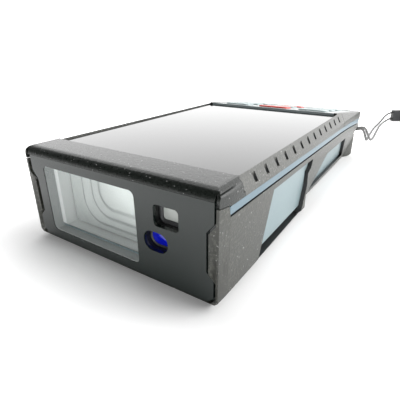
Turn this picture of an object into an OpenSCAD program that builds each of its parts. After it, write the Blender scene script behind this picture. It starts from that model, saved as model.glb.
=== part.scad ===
// Hand-held laser ranging unit: lens end at -Y, keypad end at +Y, display up.
// Millimetres. The origin is the centre of the footprint, on the surface the unit lies on.

/* [Body] */
// Width across the side grips
body_w = 64; // [60:1:78]
// Length from the lens face to the keypad end
body_l = 142; // [134:1:172]
// Height from the table to the display rails
body_h = 28; // [27:1:34]
// Thickness of the rubber skin
skin_t = 1.4; // [1.2:0.1:2.0]
// Wall of the moulded shells under the rubber
shell_t = 1.8; // [1.4:0.1:2.2]
// Bottom edge chamfer all round
bottom_chamfer = 2.2; // [1:0.1:3]
// Relief of the sides at the lens end
front_relief = 0.35; // [0.2:0.05:1]
// Length of that relief, front to back
relief_l = 4.2; // [3:0.1:6]
// Corner chamfer at the keypad end, in plan
rear_chamfer = 4; // [2:0.5:6]
// How far the grips taper in at the table
grip_taper = 4.3; // [2:0.1:5]

/* [Display] */
// Width of the cover glass
glass_w = 59.4; // [56:0.1:72]
// Thickness of the cover glass
glass_t = 1.1; // [0.7:0.1:1.6]
// Depth of the glass below the rails
glass_drop = 0.9; // [0.3:0.1:1.2]
// Width of the front bumper bar, front to back
bar_l = 10.2; // [8:0.1:13]
// Width of the display module
lcd_w = 44; // [38:1:50]
// Length of the display module
lcd_l = 64; // [50:1:66]

/* [Rails] */
// Distance between the rails' notches, near enough
notch_step = 6.54; // [5:0.1:9]
// Width of a notch, front to back
notch_w = 1.5; // [0.8:0.1:2]
// How far in from the side a notch reaches
notch_in = 1.7; // [1.2:0.1:1.8]

/* [Keypad] */
// Fall of the keypad deck towards the keypad end, in degrees
deck_tilt = 6.9; // [3:0.1:7.5]
// Length of the keypad deck
deck_l = 45.5; // [44:0.5:50]
// Key travel
key_travel = 0.4; // [0.2:0.1:0.6]
// How far the keys stand above the fascia
key_proud = 0.6; // [0.3:0.1:1.2]
// Width of the measure key
measure_w = 13.6; // [11:0.2:15]
// Width of the other keys
key_w = 12; // [9:0.2:13]
// Length of the keys, front to back
key_l = 7.4; // [6:0.2:8]

/* [Optics] */
// Width of the clear receiver window
window_w = 33.8; // [28:0.2:36]
// Height of the clear receiver window
window_h = 19.6; // [16:0.2:20]
// Outside radius of the laser barrel
laser_r = 3.6; // [3:0.1:4.2]
// Thickness of the glossy front plate
plate_t = 1.0; // [0.8:0.1:1.2]

/* [Underside] */
// Radius of the tripod thread's bore
tripod_r = 2.55; // [2:0.05:3.2]
// Depth of the tripod thread
tripod_depth = 8; // [6:0.5:10]
// Length of the fold-out stop pin from its axle
pin_l = 28; // [22:1:30]
// Width of the fold-out stop pin
pin_w = 8.2; // [6:0.2:10]
// Thickness of the fold-out stop pin
pin_t = 3.2; // [2.6:0.1:3.6]
// Radius of the stop pin's axle
axle_r = 0.8; // [0.6:0.05:1]

/* [Strap] */
// Radius of the strap cord
cord_r = 0.6; // [0.5:0.05:0.9]
// Width of the wrist webbing
web_w = 7; // [5:0.5:8]
// Thickness of the wrist webbing
web_t = 1.2; // [1:0.1:1.6]

/* [Hidden] */
$fn = 48;

run_gap = 0.05;      // radial clearance of pins and barrels
part_gap = 0.15;     // seam between skins
key_gap = 0.2;       // clearance round the keys
far = 200;           // longer than anything in the model

half_w = body_w / 2;
half_l = body_l / 2;
shell_in = skin_t;                 // inset of the shells' outer face
cavity_in = skin_t + shell_t;      // inset of the shells' inner face
front_y = -half_l;
cavity_y = front_y + cavity_in;    // front of the inside space
cavity_top = body_h - cavity_in;
deck_y = half_l - deck_l;          // where the keypad deck starts to fall
deck_run = deck_l / cos(deck_tilt);

// ---- Sections of the body -------------------------------------------------
bevel_z = 23.6;                    // where the rails' bevel meets the sides
top_half = half_w - 2.3;
function deck_z(y) = body_h - (y - deck_y) * tan(deck_tilt);

// The chamfers keep their size on every inner outline
function kept(chamfer, i) = chamfer + i * (2 - sqrt(2));
function section_pts(c) = [[-half_w + c, 0], [half_w - c, 0], [half_w, c], [half_w, bevel_z],
    [top_half, body_h], [-top_half, body_h], [-half_w, bevel_z], [-half_w, c]];
function side_pts(i) = let(low = kept(1, i), tail = kept(3, i), brow = kept(1.8, i),
    lip = kept(1.2, i)) [[front_y + low, 0], [half_l - tail, 0], [half_l, tail],
    [half_l, deck_z(half_l) - lip], [half_l - lip, deck_z(half_l - lip)], [deck_y, body_h],
    [front_y + brow, body_h], [front_y, body_h - brow], [front_y, low]];
function plan_pts(i) = let(l = relief_l + i, r = kept(rear_chamfer, i))
    [[-half_w + front_relief, front_y], [half_w - front_relief, front_y], [half_w, front_y + l],
    [half_w, half_l - r], [half_w - r, half_l], [-half_w + r, half_l], [-half_w, half_l - r],
    [-half_w, front_y + l]];

// A convex outline moved inwards by i, each corner kept sharp
function inward(a, b) = let(d = b - a) [-d[1], d[0]] / norm(d);
function inset(pts, i) = [for (k = [0 : len(pts) - 1])
    let(q = pts[k], m = inward(pts[(k + len(pts) - 1) % len(pts)], q),
        n = inward(q, pts[(k + 1) % len(pts)])) q + i * (m + n) / (1 + m * n)];

// Prisms: an outline drawn in (x, z) runs along Y, one drawn in (y, z) runs along X
module along_y(l) rotate([90, 0, 0]) linear_extrude(l, center = true) children();
module along_x(l) rotate([90, 0, 90]) linear_extrude(l, center = true) children();
module box(lo, hi) translate(lo) cube(hi - lo);
module both_sides() { children(); mirror([1, 0, 0]) children(); }
module round_rect(w, h, r) {
    square([w - 2 * r, h], center = true);
    square([w, h - 2 * r], center = true);
    for (x = [-1, 1], y = [-1, 1]) translate([x * (w / 2 - r), y * (h / 2 - r)]) circle(r);
}

// The grips taper in below the side panels, with slanted ends
grip_top = 16;
grip_y = [front_y + 57, half_l - 69, half_l - 13, half_l + 1];
module grip_cut(i) translate([-i, 0, 0]) intersection() {
    along_y(far) polygon([[half_w - grip_taper - 0.3, -1], [half_w, grip_top],
        [half_w + 9, grip_top], [half_w + 9, -1]]);
    linear_extrude(far, center = true) polygon([[half_w - 6, grip_y[1]], [half_w + 0.2, grip_y[0]],
        [half_w + 9, grip_y[0]], [half_w + 9, grip_y[3]], [half_w + 0.2, grip_y[3]],
        [half_w - 6, grip_y[2]]]);
}
module envelope(i) difference() {
    intersection() {
        along_y(far) polygon(inset(section_pts(kept(bottom_chamfer, i)), i));
        along_x(far) polygon(inset(side_pts(i), i));
        linear_extrude(far, center = true) polygon(inset(plan_pts(i), i));
    }
    both_sides() grip_cut(i);
}
module skin() difference() { envelope(0); envelope(shell_in); }
module shell() difference() { envelope(shell_in); envelope(cavity_in); }

// ---- The accent band that parts the two halves ----------------------------
band_front = front_y + 4.1;
band_top = [[band_front, 23.5], [-40, 23.0], [-5, 22.1], [28, 21.5], [45, 20.9],
    [half_l, 19.2], [half_l + 3, 19.0]];
band_bottom = [[half_l + 3, 16.9], [half_l, 17.1], [45, 19.1], [28, 19.8], [-5, 20.4],
    [-40, 21.1], [band_front, 21.6]];
band_gap = 0.35;
seal_in = cavity_in + 0.7;
function lifted(pts, d) = [for (p = pts) [p[0], p[1] + d]];
module band_zone() along_x(far) polygon(concat(band_top, band_bottom));
module above_band() along_x(far)
    polygon(concat([[front_y - 5, 25.2], [band_front - 0.5, 24.0]], lifted(band_top, part_gap),
        [[half_l + 3, 60], [front_y - 5, 60]]));
module below_band() along_x(far)
    polygon(concat([[half_l + 3, -5]], lifted(band_bottom, -band_gap),
        [[band_front - 0.5, 23.8], [front_y - 5, 25.0], [front_y - 5, -5]]));

// ---- Places shared by several parts ---------------------------------------
module on_deck() translate([0, deck_y, body_h]) rotate([-deck_tilt, 0, 0]) children();
glass_front = front_y + bar_l + 0.1;
glass_rear = deck_y - 1.1;
glass_z = body_h - glass_drop - glass_t;
glass_gap = 0.2;
module glass_pocket() box([-glass_w / 2 - glass_gap, glass_front - glass_gap, glass_z - glass_gap],
    [glass_w / 2 + glass_gap, glass_rear + glass_gap, far]);

// Glossy plate on the lens end, with a notch at each side
plate_half = half_w - 1.7;
plate_z = [0.9, body_h - 2.6];
plate_notch = 1.85;
plate_y = front_y + skin_t - plate_t;
groove_w = 0.7;                    // dark groove beside the plate
groove_h = 0.2;                    // and above and below it
function plate_outline(g, h) = let(w = plate_half + g, n = plate_half - plate_notch + g,
    b = plate_z[0] - h, t = plate_z[1] + h) [[-w + 1.5, b], [w - 1.5, b], [w, b + 1.5], [w, 6.8],
    [n, 8.7], [n, 18.3], [w, 20.6], [w, t], [-w, t], [-w, 20.6], [-n, 18.3], [-n, 8.7],
    [-w, 6.8], [-w, b + 1.5]];
window_x = -8.1;
window_z = 13.2;
camera_x = 17.9;
camera_z = 18.6;
laser_x = 14.6;
laser_z = 11.6;
module window_shape(g) translate([window_x, window_z])
    round_rect(window_w + 2 * g, window_h + 2 * g, 1.6);
module camera_shape(g) translate([camera_x, camera_z]) round_rect(7 + 2 * g, 5.4 + 2 * g, 1);
module laser_shape(g) translate([laser_x, laser_z]) round_rect(7.1 + 2 * g, 5.2 + 2 * g, 2.5 + g);
// A flat piece drawn in (x, z) that fills y0 to y1
module plate_at(y0, y1) translate([0, (y0 + y1) / 2, 0]) along_y(y1 - y0) children();

// Screws, bosses, insert and stop pin
front_screw = [half_w - cavity_in - 3.4, front_y + 51];
rear_screw = [half_w - 13, half_l - cavity_in - 3.4];
boss_r = 2.3;
boss_split = 12;
screw_r = 0.95;
head_r = 1.9;
head_h = 1.2;
module at_screws() for (s = [-1, 1], p = [front_screw, rear_screw])
    translate([s * p[0], p[1], 0]) children();
tripod_y = front_y + 51;
insert_r = tripod_r + 1.95;
pin_y = half_l - 4;
pin_z = skin_t + 0.2 + pin_t / 2;
pin_slot = [pin_w / 2 + 0.2, pin_y - pin_l - 0.5, pin_z + pin_t / 2 + 0.25];
bar_at = [half_w - skin_t - 2.8, half_l - skin_t - 2.8];
bar_r = 1.0;
bar_z = [9.4, 16.6];
bar_pocket_z = [11.2, 15.4];
bar_pocket_r = skin_t + 3;
module bar_pocket() translate([bar_at[0], bar_at[1], bar_pocket_z[0]])
    cylinder(r = bar_pocket_r, h = bar_pocket_z[1] - bar_pocket_z[0]);

// Windows in the rubber that show the lower shell
panel_front = [[front_y + 20, 2.0], [front_y + 54, 1.5], [front_y + 60.7, 18.6],
    [front_y + 27.2, 19.2]];
panel_rear = [[half_l - 67.5, 1.8], [half_l - 14.5, 2.6], [half_l - 30, 14.8],
    [half_l - 61.5, 15.6]];
floor_half = half_w - 10;

// Charging socket and its flap, on the left side
flap_y = front_y + 34.5;
flap_l = 12.9;
flap_z = [6, 15];
flap_x = -half_w + skin_t + 0.75;
flap_r = 0.7;
trunnion_r = 0.45;
trunnion_l = 0.9;
usb_y = flap_y + 7.1;
usb_z = 10.5;
usb_size = [6.4, 8, 3.4];

// Boards and what they stand on
board_t = 1.6;
board_z = 18;
board_half = 22;
board_y = [front_y + 44, glass_rear + 1.6];
standoff_x = 19.5;
standoff_y = [front_y + 47, glass_rear - 1.4];
standoff_r = 2;
board_screw_r = 0.9;
module at_standoffs() for (x = [-1, 1], y = standoff_y) translate([x * standoff_x, y, 0]) children();
lcd_y = [glass_front + 10.9, glass_front + 10.9 + lcd_l];
lcd_top = glass_z - 0.5;
lcd_t = 3.0;
backlight_t = 1.2;
carrier_x = [-half_w + 5, half_w - 6];
carrier_y = [cavity_y + 0.2, lcd_y[0] - 2, front_y + 37];
carrier_top = board_z + 2.5;
lens_y = cavity_y + 1.4;
lens_size = [window_w - 4, 5, window_h - 1.4];

// Keypad: keys sit in a fascia that lies on the deck
fascia_half = half_w - 3.5;
fascia_top = -0.2;
fascia_t = skin_t + fascia_top;    // the fascia lies on the shell
fascia_l = deck_run - 4.6;
key_rows = [8, 19.5, 31];
key_pitch = 18;
flange_t = shell_t - 1;
flange_w = 0.9;
key_top = fascia_top + key_proud;
flange_z = fascia_top - fascia_t - 0.1;
dome_h = 0.3;
key_board_z = flange_z - flange_t - key_travel - dome_h - 0.35;   // under the shell's wall
key_board_t = 1.0;
key_board_y = [1.2, key_rows[2] + 5];
keys_half = key_pitch + key_w / 2 + flange_w + 1.2;
// column, row, width of each key
measure_at = [0, 0, measure_w];
soft_left_at = [-1, 0, key_w];
soft_right_at = [1, 0, key_w];
minus_at = [-1, 1, key_w];
function_at = [0, 1, key_w];
plus_at = [1, 1, key_w];
clear_at = [-1, 2, key_w];
power_at = [0, 2, key_w];
camera_at = [1, 2, key_w];
ALL_KEYS = [measure_at, soft_left_at, soft_right_at, minus_at, function_at, plus_at, clear_at,
    power_at, camera_at];
module at_key(k) on_deck() translate([k[0] * key_pitch, key_rows[k[1]], 0]) children();

// Strap: points chosen by hand, in millimetres
slider_from = [37, 180];
slider_turn = 36;
slider_size = [13, 4, 8];
cord_route = [[31, 70.5, 14], [33.4, 74, 13.8], [34.2, 79, 12], [34.6, 86, 8.2], [34.9, 94, 4.2],
    [35, 102, 1.6], [34.8, 112, 0.7], [34.2, 124, 0.7], [33.5, 137, 0.7], [33, 150, 0.7],
    [33.2, 162, 0.7], [34.2, 172, 1.0], [36.2, 179.4, 1.7], [40, 182.2, 1.8], [42.4, 184, 4.1],
    [40, 182.2, 6.4], [36.2, 179.4, 6.3], [33.4, 174, 4.6], [31.8, 166, 1.8], [31, 156, 0.7],
    [30.7, 144, 0.7], [31, 131, 0.7], [31.6, 118, 0.7], [32.3, 106, 0.8], [32.9, 97, 2.6],
    [33.2, 88, 6.8], [33.1, 80, 10.9], [32.4, 74.6, 12.9], [30.6, 71, 13]];
loop_route = [[45, 185.8, 4], [51, 190, 4], [59, 193.6, 4], [68, 194.6, 4], [78, 192.6, 4],
    [88, 187.4, 4], [97, 179.6, 4], [104, 170, 4], [109, 159, 4], [111.6, 147, 4], [111.4, 136, 4],
    [107.6, 127.6, 4], [100.6, 124, 4], [93, 125.8, 4], [86.6, 132, 4], [81, 141, 4], [75.4, 151, 4],
    [69, 160.6, 4], [62, 169.6, 4], [55.4, 177.6, 4], [50.4, 183, 4], [46.4, 184, 4]];

// ---- Shells ---------------------------------------------------------------
module lower_shell() color([0.34, 0.46, 0.53]) difference() {
    union() {
        intersection() { shell(); below_band(); }
        intersection() {
            envelope(shell_in + 0.01);
            below_band();
            union() {
                at_screws() cylinder(r = boss_r, h = boss_split);
                at_standoffs() cylinder(r = standoff_r, h = board_z);
                translate([0, tripod_y, 0]) cylinder(r = insert_r + 1.8, h = skin_t + tripod_depth);
                box([-pin_slot[0] - 1.8, pin_slot[1] - 1.8, 0], [pin_slot[0] + 1.8, half_l,
                    pin_slot[2] + 1.6]);
                box([-half_w, flap_y - 3, flap_z[0] - 2.4], [-half_w + cavity_in + 1.4,
                    flap_y + flap_l + 2.4, flap_z[1] + 2.4]);
                translate([bar_at[0], bar_at[1], bar_z[0] - 1.6])
                    cylinder(r = bar_pocket_r + 1.6, h = bar_z[1] - bar_z[0] + 1.6);
            }
        }
    }
    plate_at(front_y, cavity_y + 0.1) { window_shape(1.2); camera_shape(0.5); laser_shape(0.5); }
    at_screws() {
        translate([0, 0, -1]) cylinder(r = screw_r + 0.2, h = boss_split + 2);
        translate([0, 0, -1]) cylinder(r = head_r + 0.2, h = 1 + skin_t + 0.2 + head_h);
    }
    at_standoffs() translate([0, 0, 8]) cylinder(r = board_screw_r, h = board_z);
    translate([0, tripod_y, -1]) cylinder(r = insert_r, h = far);
    pin_cut();
    translate([-pin_slot[0] - 1.4, pin_y, pin_z]) rotate([0, 90, 0])
        cylinder(r = axle_r, h = 2 * pin_slot[0] + 2.8);
    flap_cut();
    bar_pocket();
    translate([bar_at[0], bar_at[1], bar_z[0]]) cylinder(r = bar_r, h = bar_z[1] - bar_z[0]);
}
module pin_cut() {
    box([-pin_slot[0], pin_slot[1], -5], [pin_slot[0], half_l + 5, pin_slot[2]]);
    translate([0, pin_slot[1], -1]) cylinder(r = pin_slot[0], h = 1 + pin_slot[2]);
}
module flap_cut() {
    box([-half_w - 1, flap_y - flap_r - 0.25, flap_z[0] - 0.2], [flap_x + flap_r + 0.1,
        flap_y + flap_l + 0.2, flap_z[1] + 0.2]);
    translate([flap_x, flap_y, flap_z[0] - trunnion_l - 0.3])
        cylinder(r = trunnion_r + run_gap, h = flap_z[1] - flap_z[0] + 2 * trunnion_l + 0.6);
    box([flap_x, usb_y - usb_size[1] / 2 - 0.1, usb_z - usb_size[2] / 2 - 0.1],
        [-half_w + 12, usb_y + usb_size[1] / 2 + 0.1, usb_z + usb_size[2] / 2 + 0.1]);
}
module accent_band() color([0.34, 0.46, 0.53]) intersection() {
    difference() {
        envelope(0.2);
        envelope(cavity_in);
        at_screws() cylinder(r = boss_r + part_gap, h = far);
    }
    band_zone();
}
module housing_seal() color([0.1, 0.1, 0.1]) difference() {
    intersection() {
        envelope(cavity_in + 0.05);
        band_zone();
        box([-far, band_front + 5, 0], [far, far, far]);
    }
    linear_extrude(far, center = true) polygon(inset(plan_pts(seal_in), seal_in));
}
module upper_shell() color([0.13, 0.14, 0.14]) difference() {
    union() {
        intersection() { shell(); above_band(); }
        intersection() {
            envelope(shell_in + 0.01);
            at_screws() translate([0, 0, boss_split + 0.05]) cylinder(r = boss_r, h = far);
        }
    }
    plate_at(front_y, cavity_y + 0.1) { window_shape(1.2); camera_shape(0.5); }
    glass_pocket();
    box([-lcd_w / 2 - 0.4, lcd_y[0] - 0.4, 0], [lcd_w / 2 + 0.4, lcd_y[1] + 0.4, far]);
    on_deck() box([-keys_half, 2, -8], [keys_half, key_board_y[1] - 0.4, 5]);
    at_screws() translate([0, 0, boss_split - 1]) cylinder(r = screw_r, h = 6);
}

// ---- Rubber ---------------------------------------------------------------
module lower_overmould() color([0.16, 0.17, 0.17]) difference() {
    intersection() { skin(); below_band(); }
    plate_at(front_y - 1, front_y + 5) polygon(plate_outline(groove_w, groove_h));
    along_x(far) polygon(panel_front);
    along_x(far) polygon(panel_rear);
    box([-floor_half, front_y + 16, -1], [floor_half, half_l - 10, skin_t + 0.1]);
    pin_cut();
    bar_pocket();
}
// The rubber above the band, from y0 to y1, of the outline that is given
module upper_skin(y0, y1) difference() {
    intersection() { children(); above_band(); box([-far, y0, 0], [far, y1, far]); }
    envelope(shell_in);
    glass_pocket();
    plate_at(front_y - 1, front_y + 5) polygon(plate_outline(groove_w, groove_h));
    fascia_pocket();
}
rail_end = 5.66;                   // how far the rails run past the start of the deck
bar_notch = 1.1;                   // notch at each end of the bar
brow_r = 2.6;                      // roll of the bar over the lens end
bar_corner_r = 2.4;                // and over the sides
roll_steps = 6;
rail_y = [front_y + bar_l + 0.4, deck_y + rail_end];
rail_l = rail_y[1] - rail_y[0];
notch_gaps = round(rail_l / notch_step);
notch_pitch = rail_l / notch_gaps;
// Notches with upright inner walls, cut into the bevel of the rails
module rail_notch(y0, y1) box([half_w - notch_in, y0, bevel_z + 1], [far, y1, far]);
// A quarter circle of radius r about (a, b)
function roll(a, b, r, from) = [for (k = [0 : roll_steps]) let(turn = from + 90 * k / roll_steps)
    [a + r * cos(turn), b + r * sin(turn)]];
module bar_outline() intersection() {
    along_y(far) polygon(concat([[-half_w, 0], [half_w, 0]],
        roll(half_w - bar_corner_r, body_h - bar_corner_r, bar_corner_r, 0),
        roll(-half_w + bar_corner_r, body_h - bar_corner_r, bar_corner_r, 90)));
    along_x(far) polygon(concat([[front_y, 0], [rail_y[0], 0], [rail_y[0], body_h]],
        roll(front_y + brow_r, body_h - brow_r, brow_r, 90)));
    linear_extrude(far, center = true) polygon(plan_pts(0));
}
module front_bumper() color([0.13, 0.14, 0.14]) difference() {
    upper_skin(front_y - 1, rail_y[0]) bar_outline();
    both_sides() {
        rail_notch(rail_y[0] - bar_notch, far);
        box([plate_half + 0.2, front_y - 1, 0], [plate_half + groove_w, front_y + bar_notch, far]);
    }
}
module tail_frame() color([0.16, 0.17, 0.17]) upper_skin(rail_y[1] + part_gap, far) envelope(0);
module grip_rail() difference() {
    upper_skin(rail_y[0] + part_gap, rail_y[1]) envelope(0);
    box([-far, -far, -far], [0, far, far]);
    for (k = [1 : notch_gaps - 1]) rail_notch(rail_y[0] + k * notch_pitch - notch_w / 2,
        rail_y[0] + k * notch_pitch + notch_w / 2);
}
module grip_rail_right() color([0.16, 0.17, 0.17]) grip_rail();
module grip_rail_left() color([0.16, 0.17, 0.17]) mirror([1, 0, 0]) grip_rail();

// ---- Lens end -------------------------------------------------------------
module front_plate() color([0.08, 0.09, 0.09]) difference() {
    union() {
        plate_at(plate_y, pane_y - 0.01) polygon(plate_outline(0, 0));
        plate_at(pane_y - 0.26, pane_y - 0.01) polygon(plate_outline(groove_w - 0.05, 0.1));
    }
    plate_at(front_y - 1, front_y + 5) { window_shape(0); camera_shape(0); laser_shape(0); }
}
pane_y = front_y + skin_t;
pane_t = 1.1;
eye_y = plate_y + 2.7;             // the small panes lie deep behind the plate
eye_t = 0.6;
// The clear window stands flush with the plate and has a flange behind it
module receiver_window() color([0.8, 0.85, 0.87, 0.4]) {
    plate_at(plate_y, pane_y + 0.1) window_shape(0);
    plate_at(pane_y, pane_y + pane_t) window_shape(1.1);
}
module window_gasket() color([0.1, 0.1, 0.1]) difference() {
    plate_at(pane_y + pane_t, pane_y + pane_t + 0.6) window_shape(1.1);
    plate_at(front_y, 0) window_shape(0.2);
}
module camera_window() color([0.7, 0.75, 0.75, 0.5])
    plate_at(eye_y, eye_y + eye_t) camera_shape(0.4);
module camera_module() color([0.2, 0.2, 0.2]) {
    translate([camera_x, eye_y + eye_t + 0.1, camera_z]) rotate([-90, 0, 0])
        cylinder(r = 2.4, h = 2.1);
    box([camera_x - 3.6, cavity_y + 2.4, camera_z - 2.8], [camera_x + 3.6, cavity_y + 7,
        camera_z + 2.8]);
}
module laser_lens() color([0.05, 0.1, 0.6])
    plate_at(eye_y - 0.1, eye_y + 0.9) laser_shape(0.3);
barrel_y = [cavity_y + 1.4, cavity_y + 19];
module along_barrel(y0, y1, r) translate([laser_x, y0, laser_z]) rotate([-90, 0, 0])
    cylinder(r = r, h = y1 - y0);
module laser_barrel() color([0.75, 0.6, 0.3]) difference() {
    along_barrel(barrel_y[0], barrel_y[1], laser_r);
    along_barrel(barrel_y[0] - 1, barrel_y[1] - 3, laser_r - 1);
    along_barrel(barrel_y[1] - 3.1, barrel_y[1] + 1, laser_r - 1.8);
}
module laser_diode() color([0.7, 0.6, 0.35]) {
    along_barrel(barrel_y[1] - 3, barrel_y[1] + 0.1, laser_r - 1.85);
    along_barrel(barrel_y[1] + 0.05, barrel_y[1] + 1.3, laser_r - 0.8);
}
lens_ball = 34;
module receiver_lens() color([0.85, 0.9, 0.92, 0.4]) intersection() {
    translate([window_x + 3, lens_y + lens_ball, window_z]) sphere(r = lens_ball, $fn = 96);
    box([window_x - lens_size[0] / 2, lens_y, window_z - lens_size[2] / 2],
        [window_x + lens_size[0] / 2, lens_y + lens_size[1], window_z + lens_size[2] / 2]);
}
module optics_carrier() color([0.22, 0.22, 0.23]) difference() {
    intersection() {
        envelope(cavity_in + 0.15);
        union() {
            box([carrier_x[0], carrier_y[0], 0], [carrier_x[1], carrier_y[1], body_h]);
            box([carrier_x[0] + 3, carrier_y[0], 0], [carrier_x[1] - 6, carrier_y[2], carrier_top]);
        }
    }
    box([window_x - lens_size[0] / 2 - 0.2, cavity_y, window_z - lens_size[2] / 2 - 0.2],
        [window_x + lens_size[0] / 2 + 0.2, lens_y + lens_size[1] + 0.1,
        window_z + lens_size[2] / 2 + 0.2]);
    box([window_x - 9, cavity_y, window_z - 6], [window_x + 9, carrier_y[2] + 1, window_z + 6]);
    box([camera_x - 3.8, cavity_y, camera_z - 3], [camera_x + 3.8, cavity_y + 7.2, camera_z + 3]);
    plate_at(cavity_y, eye_y + 1) { camera_shape(0.6); laser_shape(0.5); }
    along_barrel(cavity_y, barrel_y[1] + 0.2, laser_r + run_gap);
    along_barrel(barrel_y[1] - 0.1, carrier_y[2] + 1, laser_r - 0.6);
}
sensor_t = 1.8;
module receiver_board() color([0.1, 0.35, 0.2])
    box([window_x - 9, carrier_y[2] + 0.1, 4], [window_x + 9, carrier_y[2] + 1.5, 19]);
module receiver_sensor() color([0.15, 0.15, 0.16])
    box([window_x - 3, carrier_y[2] + 0.05 - sensor_t, window_z - 3],
        [window_x + 3, carrier_y[2] + 0.1, window_z + 3]);

// ---- Display --------------------------------------------------------------
module display_glass() color([0.12, 0.13, 0.13])
    translate([0, (glass_front + glass_rear) / 2, glass_z]) linear_extrude(glass_t)
        round_rect(glass_w, glass_rear - glass_front, 0.8);
module display_gasket() color([0.1, 0.1, 0.1]) difference() {
    box([-glass_w / 2 + 0.3, glass_front + 0.3, glass_z - glass_gap],
        [glass_w / 2 - 0.3, glass_rear - 0.3, glass_z]);
    box([-lcd_w / 2 - 0.4, lcd_y[0] - 0.4, 0], [lcd_w / 2 + 0.4, lcd_y[1] + 0.4, far]);
}
module lcd_module() color([0.25, 0.27, 0.28])
    box([-lcd_w / 2, lcd_y[0], lcd_top - lcd_t], [lcd_w / 2, lcd_y[1], lcd_top]);
module backlight() color([0.9, 0.9, 0.88])
    box([-lcd_w / 2 + 0.5, lcd_y[0] + 0.5, lcd_top - lcd_t - backlight_t],
        [lcd_w / 2 - 0.5, lcd_y[1] - 0.5, lcd_top - lcd_t]);
module display_flex() color([0.7, 0.45, 0.15])
    box([-8, lcd_y[1] + 0.05, board_z + board_t], [8, lcd_y[1] + 0.3, lcd_top - 1]);

// ---- Boards and battery ---------------------------------------------------
module main_board() color([0.08, 0.32, 0.18]) difference() {
    box([-board_half, board_y[0], board_z], [board_half, board_y[1], board_z + board_t]);
    at_standoffs() cylinder(r = board_screw_r + 0.2, h = far);
}
module board_screws() color([0.7, 0.7, 0.72]) at_standoffs() {
    translate([0, 0, board_z + board_t]) cylinder(r = 1.7, h = 1);
    translate([0, 0, board_z - 6]) cylinder(r = board_screw_r, h = 6 + board_t + 0.1);
}
module shield_can() color([0.75, 0.76, 0.78])
    box([-14, board_y[0] + 4, board_z - 2], [6, board_y[0] + 22, board_z]);
module buzzer() color([0.12, 0.12, 0.12])
    translate([13, board_y[0] + 9, board_z - 3.2]) cylinder(r = 4.6, h = 3.2);
battery_y = [tripod_y + insert_r + 4, pin_slot[1] - pin_slot[0] - 2.4];
module battery_pack() color([0.2, 0.35, 0.6])
    box([-16, battery_y[0], cavity_in + 0.9], [16, battery_y[1], board_z - 3]);
module battery_pad() color([0.15, 0.15, 0.15])
    box([-14, battery_y[0] + 2, cavity_in], [14, battery_y[1] - 2, cavity_in + 0.9]);

// ---- Keypad ---------------------------------------------------------------
module fascia_pocket() on_deck() box([-fascia_half - part_gap, -2, fascia_top - fascia_t],
    [fascia_half + part_gap, fascia_l + part_gap, 9]);
module keypad_fascia() color([0.3, 0.33, 0.34]) difference() {
    on_deck() box([-fascia_half, -0.5, fascia_top - fascia_t], [fascia_half, fascia_l, fascia_top]);
    for (k = ALL_KEYS) at_key(k) translate([0, 0, -5]) linear_extrude(9)
        round_rect(k[2] + 2 * key_gap, key_l + 2 * key_gap, 1.6);
}
module key(k) at_key(k) {
    translate([0, 0, flange_z - flange_t]) linear_extrude(key_top - flange_z + flange_t)
        round_rect(k[2], key_l, 1.4);
    translate([0, 0, flange_z - flange_t]) linear_extrude(flange_t)
        round_rect(k[2] + 2 * flange_w, key_l + 2 * flange_w, 1.4);
}
module measure_key() color([0.8, 0.12, 0.1]) key(measure_at);
module soft_key_left() color([0.55, 0.6, 0.62]) key(soft_left_at);
module soft_key_right() color([0.55, 0.6, 0.62]) key(soft_right_at);
module minus_key() color([0.55, 0.6, 0.62]) key(minus_at);
module function_key() color([0.55, 0.6, 0.62]) key(function_at);
module plus_key() color([0.55, 0.6, 0.62]) key(plus_at);
module clear_key() color([0.55, 0.6, 0.62]) key(clear_at);
module power_key() color([0.7, 0.2, 0.18]) key(power_at);
module camera_key() color([0.55, 0.6, 0.62]) key(camera_at);
module keypad_board() color([0.08, 0.32, 0.18]) on_deck()
    box([-keys_half - 0.6, key_board_y[0], key_board_z - key_board_t],
        [keys_half + 0.6, key_board_y[1], key_board_z]);
module key_domes() color([0.8, 0.8, 0.8]) for (k = ALL_KEYS) at_key(k)
    translate([0, 0, key_board_z]) cylinder(r1 = 2.4, r2 = 1.4, h = dome_h, $fn = 24);

// ---- Socket, flap, insert, pin, strap bar, screws, label -------------------
module usb_socket() color([0.75, 0.76, 0.78]) difference() {
    box([flap_x + flap_r + 0.3, usb_y - usb_size[1] / 2, usb_z - usb_size[2] / 2],
        [flap_x + flap_r + 0.3 + usb_size[0], usb_y + usb_size[1] / 2, usb_z + usb_size[2] / 2]);
    box([-half_w, usb_y - usb_size[1] / 2 + 0.3, usb_z - usb_size[2] / 2 + 0.3],
        [flap_x + flap_r + usb_size[0] - 1, usb_y + usb_size[1] / 2 - 0.3,
        usb_z + usb_size[2] / 2 - 0.3]);
}
module usb_flap() color([0.34, 0.46, 0.53]) {
    box([flap_x - flap_r + 0.05, flap_y, flap_z[0]], [flap_x + flap_r, flap_y + flap_l, flap_z[1]]);
    translate([flap_x, flap_y, flap_z[0]]) cylinder(r = flap_r, h = flap_z[1] - flap_z[0]);
    translate([flap_x, flap_y, flap_z[0] - trunnion_l])
        cylinder(r = trunnion_r, h = flap_z[1] - flap_z[0] + 2 * trunnion_l);
}
module tripod_insert() color([0.78, 0.62, 0.3]) translate([0, tripod_y, skin_t]) difference() {
    cylinder(r = insert_r, h = tripod_depth);
    translate([0, 0, -1]) cylinder(r = tripod_r, h = tripod_depth + 2);
}
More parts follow.
